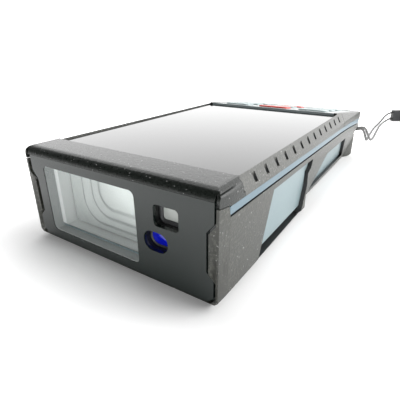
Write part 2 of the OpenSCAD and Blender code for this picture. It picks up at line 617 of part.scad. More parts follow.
module stop_pin() color([0.2, 0.21, 0.21]) difference() {
    union() {
        box([-pin_w / 2, pin_y - pin_l + pin_w / 2, pin_z - pin_t / 2], [pin_w / 2, pin_y,
            pin_z + pin_t / 2]);
        translate([0, pin_y - pin_l + pin_w / 2, pin_z - pin_t / 2]) cylinder(r = pin_w / 2, h = pin_t);
        translate([-pin_w / 2, pin_y, pin_z]) rotate([0, 90, 0]) cylinder(r = pin_t / 2, h = pin_w);
    }
    translate([-pin_w, pin_y, pin_z]) rotate([0, 90, 0]) cylinder(r = axle_r + run_gap, h = 2 * pin_w);
}
module pin_axle() color([0.75, 0.76, 0.78]) translate([-pin_slot[0] - 1.4, pin_y, pin_z])
    rotate([0, 90, 0]) cylinder(r = axle_r, h = 2 * pin_slot[0] + 2.8);
module strap_bar() color([0.75, 0.76, 0.78]) translate([bar_at[0], bar_at[1], bar_z[0]])
    cylinder(r = bar_r, h = bar_z[1] - bar_z[0]);
module housing_screws() color([0.2, 0.2, 0.2]) at_screws() difference() {
    union() {
        translate([0, 0, skin_t + 0.2]) cylinder(r = head_r, h = head_h);
        translate([0, 0, skin_t + 0.2]) cylinder(r = screw_r, h = boss_split + 2.4);
    }
    translate([0, 0, 0]) cylinder(r = 0.9, h = skin_t + 1.2, $fn = 6);
}
module rating_label() color([0.6, 0.6, 0.6])
    box([-15, battery_y[0] + 8, skin_t - 0.2], [15, battery_y[0] + 26, skin_t]);

// ---- Strap ----------------------------------------------------------------
// A smooth curve through the route's points (centripetal by even steps)
function spline(a, b, c, d, t) = 0.5 * (2 * b + (c - a) * t + (2 * a - 5 * b + 4 * c - d) * t * t
    + (3 * b - a - 3 * c + d) * t * t * t);
function smooth(pts, steps) = let(n = len(pts)) [for (k = [0 : n - 2], s = [0 : steps - 1])
    spline(pts[max(k - 1, 0)], pts[k], pts[k + 1], pts[min(k + 2, n - 1)], s / steps), pts[n - 1]];
function tangent(p, k) = let(d = p[min(k + 1, len(p) - 1)] - p[max(k - 1, 0)]) d / norm(d);
// A tube of an elliptical section: a across the route, b up and down
module tube(route, a, b, sides) {
    n = len(route);
    ring = [for (k = [0 : n - 1]) let(t = tangent(route, k), s0 = cross(t, [0, 0, 1]),
        s = norm(s0) < 0.01 ? [0.59, -0.81, 0] : s0 / norm(s0), u = cross(s, t))
        for (j = [0 : sides - 1]) route[k] + a * cos(j * 360 / sides) * s
            + b * sin(j * 360 / sides) * u];
    polyhedron(ring, concat([[for (j = [0 : sides - 1]) j]],
        [for (k = [0 : n - 2], j = [0 : sides - 1]) let(m = (j + 1) % sides)
            [k * sides + j, (k + 1) * sides + j, (k + 1) * sides + m, k * sides + m]],
        [[for (j = [sides - 1 : -1 : 0]) (n - 1) * sides + j]]));
}
module strap_cord() color([0.12, 0.12, 0.12]) tube(smooth(cord_route, 2), cord_r, cord_r, 8);
module wrist_loop() color([0.08, 0.08, 0.08]) tube(smooth(loop_route, 2), web_t / 2, web_w / 2, 8);
module strap_slider() color([0.08, 0.08, 0.08]) translate([slider_from[0], slider_from[1], 0])
    rotate([0, 0, slider_turn]) translate([0, -slider_size[1] / 2, 0]) cube(slider_size);

lower_shell();
accent_band();
upper_shell();
housing_seal();
lower_overmould();
front_bumper();
grip_rail_right();
grip_rail_left();
tail_frame();
front_plate();
receiver_window();
window_gasket();
camera_window();
camera_module();
laser_lens();
laser_barrel();
laser_diode();
receiver_lens();
optics_carrier();
receiver_board();
receiver_sensor();
display_glass();
display_gasket();
lcd_module();
backlight();
display_flex();
main_board();
board_screws();
shield_can();
buzzer();
keypad_fascia();
keypad_board();
key_domes();
measure_key();
soft_key_left();
soft_key_right();
minus_key();
function_key();
plus_key();
clear_key();
power_key();
camera_key();
battery_pack();
battery_pad();
usb_socket();
usb_flap();
tripod_insert();
stop_pin();
pin_axle();
strap_bar();
housing_screws();
rating_label();
strap_cord();
strap_slider();
wrist_loop();
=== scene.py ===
# %% [markdown]
# # A hand-held laser ranging unit
# The engineering model comes in as a fixed frame: every shell, key and screw already has its
# place and size in metres. This script gives each visible part its finished surface. It softens
# moulded edges, lines the openings in the front plate, shapes the receiver lens, weaves the strap
# and mixes one material for each finish.

# %% Load the frame
import math
import bmesh
import bpy
from mathutils import Matrix, Vector


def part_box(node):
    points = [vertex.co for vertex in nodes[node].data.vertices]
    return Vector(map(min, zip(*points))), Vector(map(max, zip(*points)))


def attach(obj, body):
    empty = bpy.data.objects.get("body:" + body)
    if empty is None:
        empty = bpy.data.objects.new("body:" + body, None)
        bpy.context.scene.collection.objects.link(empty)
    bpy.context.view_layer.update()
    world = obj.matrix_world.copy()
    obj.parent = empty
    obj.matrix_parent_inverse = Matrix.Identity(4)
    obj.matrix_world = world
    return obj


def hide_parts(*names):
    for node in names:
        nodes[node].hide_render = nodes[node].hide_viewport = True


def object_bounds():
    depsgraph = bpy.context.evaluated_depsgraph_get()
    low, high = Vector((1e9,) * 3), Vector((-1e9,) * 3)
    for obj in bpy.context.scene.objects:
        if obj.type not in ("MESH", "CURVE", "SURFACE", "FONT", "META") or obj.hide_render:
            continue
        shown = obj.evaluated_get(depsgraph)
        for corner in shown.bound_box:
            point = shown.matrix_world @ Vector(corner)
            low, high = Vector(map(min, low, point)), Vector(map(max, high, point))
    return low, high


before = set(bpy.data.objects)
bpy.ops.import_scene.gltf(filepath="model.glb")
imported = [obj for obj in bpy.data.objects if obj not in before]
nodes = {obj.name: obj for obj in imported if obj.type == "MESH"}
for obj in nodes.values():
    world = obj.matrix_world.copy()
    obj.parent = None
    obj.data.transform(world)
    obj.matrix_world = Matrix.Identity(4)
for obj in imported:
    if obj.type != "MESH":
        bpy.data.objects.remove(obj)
cad_bounds = [list(corner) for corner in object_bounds()]
MM = 0.001

# %% [markdown]
# ## Camera
# The view is a close three-quarter look from the lens end. A short lens near the object makes the
# front face large and the keypad small, so the camera's distance matters as much as its angle.
# The position comes first and the two angles second, because a turntable view can then move it.

# %% Camera
CAMERA_AT = Vector((60.8, -121.6, 52.6)) * MM
CAMERA_AZIMUTH = math.radians(33.56)
CAMERA_ELEVATION = math.radians(24.09)
CAMERA_ROLL = math.radians(-0.34)
FOCAL_MM = 30.79


def look_axes(azimuth, elevation, roll):
    """Right, up and back directions of a camera at that azimuth and elevation."""
    back = Vector((math.sin(azimuth) * math.cos(elevation),
                   -math.cos(azimuth) * math.cos(elevation), math.sin(elevation)))
    right = Vector((0, 0, 1)).cross(back).normalized()
    up = back.cross(right)
    turned_right = right * math.cos(roll) + up * math.sin(roll)
    turned_up = up * math.cos(roll) - right * math.sin(roll)
    return turned_right, turned_up, back


camera_data = bpy.data.cameras.new("camera")
camera_data.lens = FOCAL_MM
camera_data.clip_start = 0.005
camera = bpy.data.objects.new("camera", camera_data)
bpy.context.scene.collection.objects.link(camera)
right, up, back = look_axes(CAMERA_AZIMUTH, CAMERA_ELEVATION, CAMERA_ROLL)
turn = Matrix((right, up, back)).transposed().to_4x4()
camera.matrix_world = Matrix.Translation(CAMERA_AT) @ turn
bpy.context.scene.camera = camera
print("camera lens:", FOCAL_MM, "mm")

# %% [markdown]
# ## Shader arithmetic
# A material is easier to read as a formula than as a picture of boxes. One small class wraps a
# node's output, so `grain * 0.3 + 0.5` adds the two Math nodes that it needs. Everything that
# isn't arithmetic goes through `node`, which takes the node's type, its settings and its inputs.

# %% Shader arithmetic
class Wire:
    """One socket of a node tree. Arithmetic on wires adds Math nodes."""

    def __init__(self, tree, socket):
        self.tree = tree
        self.socket = socket

    def math(self, operation, *values):
        return node(self.tree, "ShaderNodeMath", {"operation": operation},
                    {k: v for k, v in enumerate(values)})

    def __add__(self, other): return self.math("ADD", self, other)
    def __sub__(self, other): return self.math("SUBTRACT", self, other)
    def __rsub__(self, other): return self.math("SUBTRACT", other, self)
    def __mul__(self, other): return self.math("MULTIPLY", self, other)
    def __truediv__(self, other): return self.math("DIVIDE", self, other)
    def __pow__(self, other): return self.math("POWER", self, other)
    def __gt__(self, other): return self.math("GREATER_THAN", self, other)
    def clamped(self): return self.math("MINIMUM", self.math("MAXIMUM", self, 0.0), 1.0)
    def over(self, span): return (self / span).clamped()


def node(tree, kind, settings=None, inputs=None, output=0):
    """Adds a node: settings are set first, then values or wires go into its inputs."""
    added = tree.nodes.new(kind)
    for name, value in (settings or {}).items():
        setattr(added, name, value)
    for name, value in (inputs or {}).items():
        if isinstance(value, Wire):
            tree.links.new(value.socket, added.inputs[name])
        else:
            added.inputs[name].default_value = value
    return Wire(tree, added.outputs[output])


def split_wire(wire):
    """The three components of a vector wire."""
    split = wire.tree.nodes.new("ShaderNodeSeparateXYZ")
    wire.tree.links.new(wire.socket, split.inputs[0])
    return [Wire(wire.tree, socket) for socket in split.outputs]


def mix_colour(tree, factor, first, second):
    """Blends two colours by a wire or a number."""
    return node(tree, "ShaderNodeMix", {"data_type": "RGBA"},
                {0: factor, 6: first, 7: second}, output=2)


def grey(value):
    return (value, value, value, 1.0)


class Finish:
    """A material under construction, with its Principled shader and its place on the object."""

    def __init__(self, name, base, roughness, **uniform):
        self.material = bpy.data.materials.new(name)
        self.material.use_nodes = True
        self.tree = self.material.node_tree
        self.shader = self.tree.nodes["Principled BSDF"]
        self.base = (*base, 1.0)
        self.shader.inputs["Base Color"].default_value = self.base
        self.shader.inputs["Roughness"].default_value = roughness
        self.roughness = roughness
        for name_of_input, value in uniform.items():
            self.shader.inputs[name_of_input.replace("_", " ")].default_value = value
        self.place = node(self.tree, "ShaderNodeTexCoord", output=3)

    def feed(self, name, wire):
        self.tree.links.new(wire.socket, self.shader.inputs[name])

    def noise(self, per_mm, detail=2.0, rough=0.5, stretch=None):
        """Noise from 0 to 1 with that many grains to a millimetre."""
        where = self.place
        if stretch:
            where = node(self.tree, "ShaderNodeMapping", None, {0: where, 3: stretch})
        return node(self.tree, "ShaderNodeTexNoise", None,
                    {"Vector": where, "Scale": per_mm / MM, "Detail": detail,
                     "Roughness": rough})

    def bump(self, height, depth_mm):
        """Feeds a height wire to the shader's normal, depth_mm deep."""
        self.feed("Normal", node(self.tree, "ShaderNodeBump", None,
                                 {"Strength": 1.0, "Distance": depth_mm * MM,
                                  "Height": height}))

    def mottle(self, amount, per_mm=0.15):
        """Varies the base colour a little over the surface."""
        cloud = self.noise(per_mm, 4.0, 0.6)
        dark = tuple(c * (1 - amount) for c in self.base[:3]) + (1.0,)
        light = tuple(min(c * (1 + amount), 1) for c in self.base[:3]) + (1.0,)
        shade = mix_colour(self.tree, cloud, dark, light)
        self.feed("Base Color", shade)
        return shade

    def vary_roughness(self, amount, per_mm=0.4):
        cloud = self.noise(per_mm, 3.0, 0.6)
        self.feed("Roughness", (cloud - 0.5) * (2 * amount) + self.roughness)


print("shader helpers ready")

# %% [markdown]
# ## Finishes
# Soft-touch rubber is dark and slightly glossy at a glance, with a grain of about a third of a
# millimetre and pale dust in its hollows. The housing is a blue-grey plastic with fine spark
# erosion texture. The lens plate and the display are flat glass, printed black behind.

# %% Rubber and moulded plastic
def rubber_finish(name, base, roughness, dust, grain=0.45, shine=0.5):
    """Soft-touch rubber: a sandy grain in both colour and relief, with pale dust specks."""
    finish = Finish(name, base, roughness, Specular_IOR_Level=shine)
    shade = finish.mottle(0.12)
    sand = finish.noise(1.5, 2.0, 0.75)
    lighter = tuple(min(c * 3.5 + 0.02, 1) for c in base) + (1.0,)
    shade = mix_colour(finish.tree, ((sand - 0.5) * 4.0).clamped() * grain, shade, lighter)
    specks = finish.noise(2.3, 0.0) > 0.81
    finish.feed("Base Color", mix_colour(finish.tree, specks * dust, shade, grey(0.45)))
    finish.feed("Roughness", (sand - 0.5) * 0.2 + roughness)
    finish.bump(sand * 0.9 + finish.noise(0.9, 2.0) * 0.5, 0.07)
    return finish.material


def moulded_finish(name, base, roughness, grain_mm=2.5, depth_mm=0.03, spread=0.06):
    finish = Finish(name, base, roughness)
    finish.mottle(spread)
    finish.vary_roughness(0.04, 0.8)
    finish.bump(finish.noise(grain_mm, 2.0, 0.6), depth_mm)
    return finish.material


def glossy_finish(name, base, roughness, **uniform):
    finish = Finish(name, base, roughness, **uniform)
    finish.mottle(0.05, 0.05)
    smears = finish.noise(0.06, 3.0, 0.5)
    finish.feed("Roughness", smears * 0.03 + roughness)
    return finish.material


def metal_finish(name, base, roughness, stretch=(1, 1, 0.1)):
    finish = Finish(name, base, roughness, Metallic=1.0)
    finish.mottle(0.06, 0.3)
    lines = finish.noise(2.0, 2.0, 0.5, stretch=stretch)
    finish.feed("Roughness", lines * 0.12 + roughness)
    finish.bump(lines, 0.01)
    return finish.material


RUBBER = rubber_finish("rubber_grained", (0.026, 0.027, 0.022), 0.34, 0.6, 0.8)
BAR_RUBBER = rubber_finish("rubber_bar", (0.006, 0.008, 0.0065), 0.3, 0.5, 0.25, 0.36)
# Near-black: the sleeves behind the plate, and painted shade on deep rubber faces of notches and
# windows.
BLACK_SLEEVE_AND_SHADE = moulded_finish("black_sleeve_and_painted_shade", (0.006, 0.007, 0.007), 0.45, 2.5, 0.02)
SEAL_RUBBER = rubber_finish("rubber_seal", (0.03, 0.03, 0.03), 0.6, 0.0, 0.1)
BLUE = moulded_finish("housing_blue", (0.19, 0.25, 0.265), 0.34)
BAND = moulded_finish("housing_band", (0.1, 0.155, 0.19), 0.36)
BLACK_SHELL = moulded_finish("housing_black", (0.03, 0.032, 0.032), 0.45)
DARK = moulded_finish("moulding_dark", (0.035, 0.036, 0.038), 0.5)
FASCIA = moulded_finish("fascia_grey", (0.2, 0.235, 0.24), 0.3, 2.5, 0.015)
GREY_KEY = moulded_finish("key_grey", (0.42, 0.5, 0.5), 0.4, 3.0, 0.02)
RED_KEY = moulded_finish("key_red", (0.62, 0.045, 0.03), 0.38, 3.0, 0.02)
PALE = moulded_finish("moulding_pale", (0.78, 0.79, 0.78), 0.35, 1.5, 0.01, 0.03)
LABEL = moulded_finish("label_foil", (0.5, 0.5, 0.5), 0.35, 1.0, 0.005, 0.03)
BATTERY = moulded_finish("battery_film", (0.09, 0.16, 0.34), 0.3, 0.5, 0.02)
AMBER = moulded_finish("flex_film", (0.55, 0.27, 0.05), 0.3, 1.0, 0.005)
BOARD = moulded_finish("board_mask", (0.03, 0.18, 0.08), 0.32, 1.2, 0.01, 0.2)
PLATE = glossy_finish("plate_gloss", (0.008, 0.013, 0.0115), 0.05)
GLASS = glossy_finish("display_gloss", (0.010, 0.011, 0.011), 0.03, IOR=1.55)
BRASS = metal_finish("brass_turned", (0.72, 0.53, 0.26), 0.25)
FROST = moulded_finish("frosted_edge", (0.34, 0.355, 0.35), 0.5, 1.2, 0.01, 0.05)
INK = moulded_finish("ink_white", (0.85, 0.86, 0.86), 0.4, 4.0, 0.004, 0.03)
THREAD = moulded_finish("thread_black", (0.05, 0.049, 0.046), 0.6, 6.0, 0.02, 0.2)
STEEL = metal_finish("steel_plain", (0.62, 0.63, 0.65), 0.28)
SCREW = metal_finish("screw_black", (0.1, 0.1, 0.1), 0.35)
print("finishes:", len(bpy.data.materials))

# %% [markdown]
# ## Glass that light passes
# The window in front of the receiver is clear, so it is a thin pane that mostly shows what lies
# behind it. Full transmission through a small closed pane needs many light bounces. A mix of a
# transparent and a glossy shader, weighted by Fresnel, looks the same and renders clean. Only
# the outer side of a face mirrors, because a ray inside the pane would find total reflection.

# %% Clear pane and coated lens
def pane_finish(name, tint, haze):
    finish = Finish(name, tint, 0.03)
    finish.mottle(0.02)
    tree = finish.tree
    clear = node(tree, "ShaderNodeBsdfTransparent", None, {0: (0.97, 0.98, 0.98, 1)})
    edge = node(tree, "ShaderNodeFresnel", None, {"IOR": 1.5})
    outside = 1.0 - node(tree, "ShaderNodeNewGeometry", output="Backfacing")
    film = finish.noise(0.08, 3.0) * haze
    mixed = node(tree, "ShaderNodeMixShader", None,
                 {0: ((edge + film) * outside).clamped(), 1: clear,
                  2: Wire(tree, finish.shader.outputs[0])})
    tree.links.new(mixed.socket, tree.nodes["Material Output"].inputs["Surface"])
    return finish.material


CLEAR = pane_finish("pane_clear", (0.3, 0.31, 0.31), 0.02)
BLUE_LENS = glossy_finish("lens_blue", (0.003, 0.008, 0.42), 0.04, IOR=1.7, Coat_Weight=1.0)


def milky_lens(name, dark, pale):
    """Pale moulding whose brightness follows the painted light that each vertex of the piece
    carries.
    """
    finish = Finish(name, pale, 0.25, IOR=1.45)
    tree = finish.tree
    painted_light_tone = node(tree, "ShaderNodeAttribute", {"attribute_name": "painted_light_tone"}, output=2)
    cloud = finish.noise(0.35, 3.0, 0.55)
    lit = (painted_light_tone + (cloud - 0.5) * 0.12).clamped()
    finish.feed("Base Color", mix_colour(tree, lit, (*dark, 1), (*pale, 1)))
    # Painted glow: the moulding emits a little light where its painted light is brightest.
    finish.feed("Emission Color", mix_colour(tree, lit ** 2.0, grey(0.0), (0.93, 1.0, 0.97, 1)))
    finish.shader.inputs["Emission Strength"].default_value = 0.18
    finish.vary_roughness(0.05, 0.1)
    return finish.material


EYE = glossy_finish("eye_grey", (0.36, 0.38, 0.36), 0.08)
LENS = milky_lens("lens_pale", (0.12, 0.13, 0.13), (0.66, 0.68, 0.66))
print("clear finishes ready")

# %% [markdown]
# ## Strap
# The strap is a thin braided cord, doubled between the bar in the rear corner and a moulded
# slider, and a flat webbing loop beyond it. Both routes are the ones the frame holds, drawn as
# smooth curves through listed points, because each must keep its real length.

# %% Strap routes
CORD_ROUTE = [(31, 70.5, 14), (33.4, 74, 13.8), (34.2, 79, 12), (34.6, 86, 8.2),
              (34.9, 94, 4.2), (35, 102, 1.6), (34.8, 112, 0.7), (34.2, 124, 0.7),
              (33.5, 137, 0.7), (33, 150, 0.7), (33.2, 162, 0.7), (34.2, 172, 1.0),
              (36.2, 179.4, 1.7), (40, 182.2, 1.8), (42.4, 184, 4.1), (40, 182.2, 6.4),
              (36.2, 179.4, 6.3), (33.4, 174, 4.6), (31.8, 166, 1.8), (31, 156, 0.7),
              (30.7, 144, 0.7), (31, 131, 0.7), (31.6, 118, 0.7), (32.3, 106, 0.8),
              (32.9, 97, 2.6), (33.2, 88, 6.8), (33.1, 80, 10.9), (32.4, 74.6, 12.9),
              (30.6, 71, 13)]
LOOP_ROUTE = [(45, 185.8, 4), (51, 190, 4), (59, 193.6, 4), (68, 194.6, 4), (78, 192.6, 4),
              (88, 187.4, 4), (97, 179.6, 4), (104, 170, 4), (109, 159, 4), (111.6, 147, 4),
              (111.4, 136, 4), (107.6, 127.6, 4), (100.6, 124, 4), (93, 125.8, 4),
              (86.6, 132, 4), (81, 141, 4), (75.4, 151, 4), (69, 160.6, 4), (62, 169.6, 4),
              (55.4, 177.6, 4), (50.4, 183, 4), (46.4, 184, 4)]
CORD_D = 1.2
WEB_W = 7.0
WEB_T = 1.1
BORE_R = 2.55
FIRST_SIDE = Vector((0.59, -0.81, 0))   # sideways direction where the route starts upright
STEEP = 0.15            # a steeper run than this keeps the last sideways direction


def smooth_route(points, steps):
    """A Catmull-Rom curve through the points, in metres."""
    pts = [Vector(p) * MM for p in points]
    last = len(pts) - 1
    line = []
    for k in range(last):
        a, b, c, d = pts[max(k - 1, 0)], pts[k], pts[k + 1], pts[min(k + 2, last)]
        for s in range(steps):
            t = s / steps
            line.append(0.5 * (2 * b + (c - a) * t + (2 * a - 5 * b + 4 * c - d) * t * t
                               + (3 * b - a - 3 * c + d) * t ** 3))
    return line + [pts[last]]


def route_length(line):
    return sum((b - a).length for a, b in zip(line, line[1:]))


def sweep(name, line, profile):
    """A mesh swept along line; profile is a closed outline of (across, up) in metres."""
    bm = bmesh.new()
    uv = bm.loops.layers.uv.new("UVMap")
    rings = []
    count = len(line)
    side = FIRST_SIDE
    run = [0.0]
    for a, b in zip(line, line[1:]):
        run.append(run[-1] + (b - a).length)
    for k, at in enumerate(line):
        tangent = (line[min(k + 1, count - 1)] - line[max(k - 1, 0)]).normalized()
        across = tangent.cross(Vector((0, 0, 1)))
        side = across.normalized() if across.length > STEEP else side
        lift = side.cross(tangent).normalized()
        rings.append([bm.verts.new(at + side * x + lift * z) for x, z in profile])
    sides = len(profile)
    for a, b in zip(range(count), range(1, count)):
        for j in range(sides):
            m = (j + 1) % sides
            face = bm.faces.new((rings[a][j], rings[b][j], rings[b][m], rings[a][m]))
            spots = ((run[a], j), (run[b], j), (run[b], j + 1), (run[a], j + 1))
            for loop, (u, v) in zip(face.loops, spots):
                loop[uv].uv = (u / MM, v / sides)
    bm.faces.new(rings[0])
    bm.faces.new(rings[-1][::-1])
    bmesh.ops.recalc_face_normals(bm, faces=bm.faces)
    return finished(name, bm)


def finished(name, bm, smooth_angle=40):
    """Turns a bmesh into a linked object whose shallow edges shade smooth.

    The normals are weighted by area, so that a flat face next to a small radius stays flat.
    """
    mesh = bpy.data.meshes.new(name)
    bm.to_mesh(mesh)
    bm.free()
    mesh.polygons.foreach_set("use_smooth", [True] * len(mesh.polygons))
    mesh.set_sharp_from_angle(angle=math.radians(smooth_angle))
    piece = bpy.data.objects.new(name, mesh)
    bpy.context.scene.collection.objects.link(piece)
    weights = piece.modifiers.new("flat_faces", "WEIGHTED_NORMAL")
    weights.keep_sharp = True
    view = piece.evaluated_get(bpy.context.evaluated_depsgraph_get())
    piece.data = bpy.data.meshes.new_from_object(view)
    piece.data.name = name
    piece.modifiers.remove(weights)
    bpy.data.meshes.remove(mesh)
    return piece


def circle_profile(radius, sides):
    return [(radius * math.cos(2 * math.pi * j / sides), radius * math.sin(2 * math.pi * j / sides))
            for j in range(sides)]


def dress(piece, material, body="housing"):
    """Gives a finished piece its material and its body."""
    piece.data.materials.clear()
    piece.data.materials.append(material)
    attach(piece, body)
    return piece


# %% [markdown]
# A braid is two sets of fibres wound in opposite ways. Two sine waves over the piece's own map
# cross each other like them, and the higher one shows at each place.

# %% Strap finishes
def braid_finish(name, base, turns, strands):
    """Fibres wound both ways round a cord; the pattern follows the piece's own UV map."""
    finish = Finish(name, base, 0.6, Sheen_Weight=0.25)
    tree = finish.tree
    uv = node(tree, "ShaderNodeUVMap", {"uv_map": "UVMap"})
    along, around, _ = split_wire(uv)
    one = along.math("SINE", (along * turns + around * strands) * (2 * math.pi))
    two = along.math("SINE", (along * turns - around * strands) * (2 * math.pi))
    weave = one.math("MAXIMUM", one, two)
    fibre = finish.noise(4.0, 2.0, 0.6)
    shade = mix_colour(tree, (weave * 0.35 + fibre * 0.5).clamped(),
                       tuple(c * 0.5 for c in base) + (1,), tuple(c * 1.7 for c in base) + (1,))
    finish.feed("Base Color", shade)
    finish.bump(weave * 0.6 + fibre * 0.3, 0.12)
    return finish.material


BRAID = braid_finish("strap_braid", (0.035, 0.034, 0.032), 0.55, 3)
WEBBING = braid_finish("strap_webbing", (0.03, 0.029, 0.027), 0.5, 8)
print("strap finishes:", BRAID.name, WEBBING.name)

# %% [markdown]
# The cord is round and the loop is a flat band on its edge, with its corners taken off. Each one
# replaces the plain solid that holds its place in the frame.

# %% Strap pieces
cord_line = smooth_route(CORD_ROUTE, 5)
cord_piece = dress(sweep("strap_cord_braided", cord_line, circle_profile(CORD_D / 2 * MM, 14)),
                   BRAID)
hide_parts("strap_cord")

half_t, half_w = WEB_T / 2 * MM, WEB_W / 2 * MM
web_profile = [(half_t * x, half_w * z) for x, z in
               ((1, -0.8), (1, -0.4), (1, 0), (1, 0.4), (1, 0.8), (0.7, 0.97), (0, 1),
                (-0.7, 0.97), (-1, 0.8), (-1, 0.4), (-1, 0), (-1, -0.4), (-1, -0.8),
                (-0.7, -0.97), (0, -1), (0.7, -0.97))]
loop_line = smooth_route(LOOP_ROUTE, 5)
loop_piece = dress(sweep("wrist_webbing", loop_line, web_profile), WEBBING)
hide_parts("wrist_loop")
print("cord", round(route_length(cord_line), 4), "loop", round(route_length(loop_line), 4))

# %% [markdown]
# ## Softened mouldings
# A moulded part never has a knife edge. The CAD mesh is loose triangles, so a copy is welded and
# its flat faces are rejoined before its sharp outer edges are rolled over. Edges are chosen by how
# sharply they turn, so the facets of a round corner are left alone.

# %% Edge softening
WELD_MM = 0.002
FLAT_TURN = math.radians(0.5)   # faces that differ by less than this are one flat face
SHARP_TURN = math.radians(20)   # edges that turn by less than this are left alone


def welded(node_name):
    """A bmesh of a CAD node with its triangles welded and its flat faces rejoined."""
    bm = bmesh.new()
    bm.from_mesh(nodes[node_name].data)
    bmesh.ops.remove_doubles(bm, verts=bm.verts, dist=WELD_MM * MM)
    bmesh.ops.dissolve_limit(bm, angle_limit=FLAT_TURN, verts=bm.verts, edges=bm.edges)
    return bm


def roll_edges(bm, width_mm, segments, wanted):
    """Rounds the sharp convex edges, or only those that wanted() accepts."""
    chosen = []
    for edge in bm.edges:
        if len(edge.link_faces) != 2:
            continue
        if edge.calc_face_angle_signed(0) < SHARP_TURN:
            continue
        if wanted and not wanted(edge):
            continue
        chosen.append(edge)
    bmesh.ops.bevel(bm, geom=chosen, offset=width_mm * MM, segments=segments, profile=0.5,
                    affect="EDGES", clamp_overlap=True)


def soft_piece(node_name, name, material, rolls, body="housing"):
    """Replaces a CAD node by its softened copy."""
    bm = welded(node_name)
    for width_mm, segments, wanted in rolls:
        roll_edges(bm, width_mm, segments, wanted)
    piece = dress(finished(name, bm), material, body)
    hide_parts(node_name)
    return piece


print("softening ready")

# %% [markdown]
# The frame already holds the front bar's large roll between brow and top, so every skin here gets
# only its small moulding radius. The grip rails keep crisp notches, so their radius is least.
# Faces deep in the notches and side windows take a near-black material: painted shade, as little
# light gets there.

# %% Skins
front_y = cad_bounds[0][1]


def at_front(edge):
    """Edges that don't border the window, which stands flush."""
    low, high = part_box("receiver_window")
    return not all(low.x < v.co.x < high.x and low.z < v.co.z < high.z for v in edge.verts)


def front_upright(edge):
    """The upright outer corners of the frame round the plate."""
    a, b = (v.co for v in edge.verts)
    return (abs(a.z - b.z) > 0.9 * (a - b).length and max(a.y, b.y) < front_y + 0.02 * MM
            and abs(a.x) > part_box("lower_overmould")[1].x - 0.5 * MM)


def other_edges(edge):
    """Edges away from the front corners, which are already rolled."""
    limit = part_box("lower_overmould")[1].x - 1.2 * MM
    return not any(v.co.y < front_y + 1.2 * MM and abs(v.co.x) > limit for v in edge.verts)


def darken(piece, material, wanted):
    """Paints shade: a second, darker material for the faces that wanted() picks by normal and
    centre.
    """
    piece.data.materials.append(material)
    for face in piece.data.polygons:
        if wanted(face.normal, face.center):
            face.material_index = 1


# Notch walls that face along the rail: they get painted shade.
def notch_wall(normal, centre):
    return abs(normal.y) > 0.9


def end_notch(normal, centre):
    """The floor of the notch that parts the bar from each rail, where shadow is painted."""
    low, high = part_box("front_bumper")
    return abs(normal.x) > 0.9 and centre.y > high.y - 1.2 * MM and abs(centre.x) < high.x - MM


def window_wall(normal, centre):
    """The walls of the side windows, where shade is painted."""
    low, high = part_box("lower_overmould")
    return (abs(normal.x) < 0.2 and high.x - 8 * MM < abs(centre.x) < high.x - 0.05 * MM
            and low.y + 15 * MM < centre.y < high.y - 5 * MM
            and low.z + 1.0 * MM < centre.z < high.z - 2 * MM)


bumper = soft_piece("front_bumper", "front_bumper_soft", BAR_RUBBER,
                    [(0.6, 4, front_upright), (0.2, 2, other_edges)])
# Painted shadow on the floor of the notch between the bar and each rail.
darken(bumper, BLACK_SLEEVE_AND_SHADE, end_notch)
soft_piece("tail_frame", "tail_frame_soft", RUBBER, [(0.35, 3, None)])
for side in ("right", "left"):
    rail_name = "grip_rail_" + side
    rail = soft_piece(rail_name, rail_name + "_soft", RUBBER, [(0.1, 2, None)])
    # Painted shade on the notch walls that face along the rail.
    darken(rail, BLACK_SLEEVE_AND_SHADE, notch_wall)
jacket = soft_piece("lower_overmould", "lower_overmould_soft", RUBBER,
                    [(0.6, 4, front_upright), (0.25, 3, other_edges)])
# Painted shade on the walls of the side windows.
darken(jacket, BLACK_SLEEVE_AND_SHADE, window_wall)
soft_piece("front_plate", "front_plate_soft", PLATE, [(0.15, 2, at_front)])
soft_piece("accent_band", "accent_band_soft", BAND, [(0.08, 1, None)])
soft_piece("display_glass", "display_glass_soft", GLASS, [(0.2, 2, None)])
slider = soft_piece("strap_slider", "strap_slider_soft", DARK, [(0.6, 3, None)])
print("skins softened")

# %% [markdown]
# Each key rides on its own body, so that it can be pressed. The flap and the stop pin turn on
# theirs. A key's face has a generous radius, which catches a bright line along its far edge.

# %% Keys and other moving parts
KEY_FINISH = {"measure_key": RED_KEY, "power_key": RED_KEY}
KEYS = ("measure_key", "soft_key_left", "soft_key_right", "minus_key", "function_key",
        "plus_key", "clear_key", "power_key", "camera_key")
for key_name in KEYS:
    material = KEY_FINISH.get(key_name, GREY_KEY)
    slot = "red_key" if key_name in KEY_FINISH else "grey_key"
    soft_piece(key_name, key_name + "_soft", material, [(0.35, 3, None)], key_name)
soft_piece("usb_flap", "usb_flap_soft", BLUE, [(0.25, 2, None)], "usb_flap")
soft_piece("stop_pin", "stop_pin_soft", DARK, [(0.3, 2, None)], "stop_pin")
print("keys:", len(KEYS))

# %% [markdown]
# ## Eyes beside the window
# The camera pane and the laser lens lie deep in their openings. A dark ring with a rounded inner
# corner frames each of them, so that less of the pane shows than its opening would let through.
# A sleeve lines each opening behind the plate, and a frosted one lines the receiver window's.

# %% Bezels and sleeves
ROUND_ANGLE = 50        # rings shade smooth across turns smaller than this
HAIR = 0.02             # air between a lining and the part next to it, in millimetres


def rounded_outline(centre_x, centre_z, width, height, radius, per_corner=8):
    """Points of a rounded rectangle in the x-z plane, in millimetres, running anticlockwise."""
    points = []
    for k, (sx, sz) in enumerate(((1, 1), (-1, 1), (-1, -1), (1, -1))):
        cx = centre_x + sx * (width / 2 - radius)
        cz = centre_z + sz * (height / 2 - radius)
        for j in range(per_corner + 1):
            turn = math.radians(90 * (k + j / per_corner))
            points.append((cx + radius * math.cos(turn), cz + radius * math.sin(turn)))
    return points


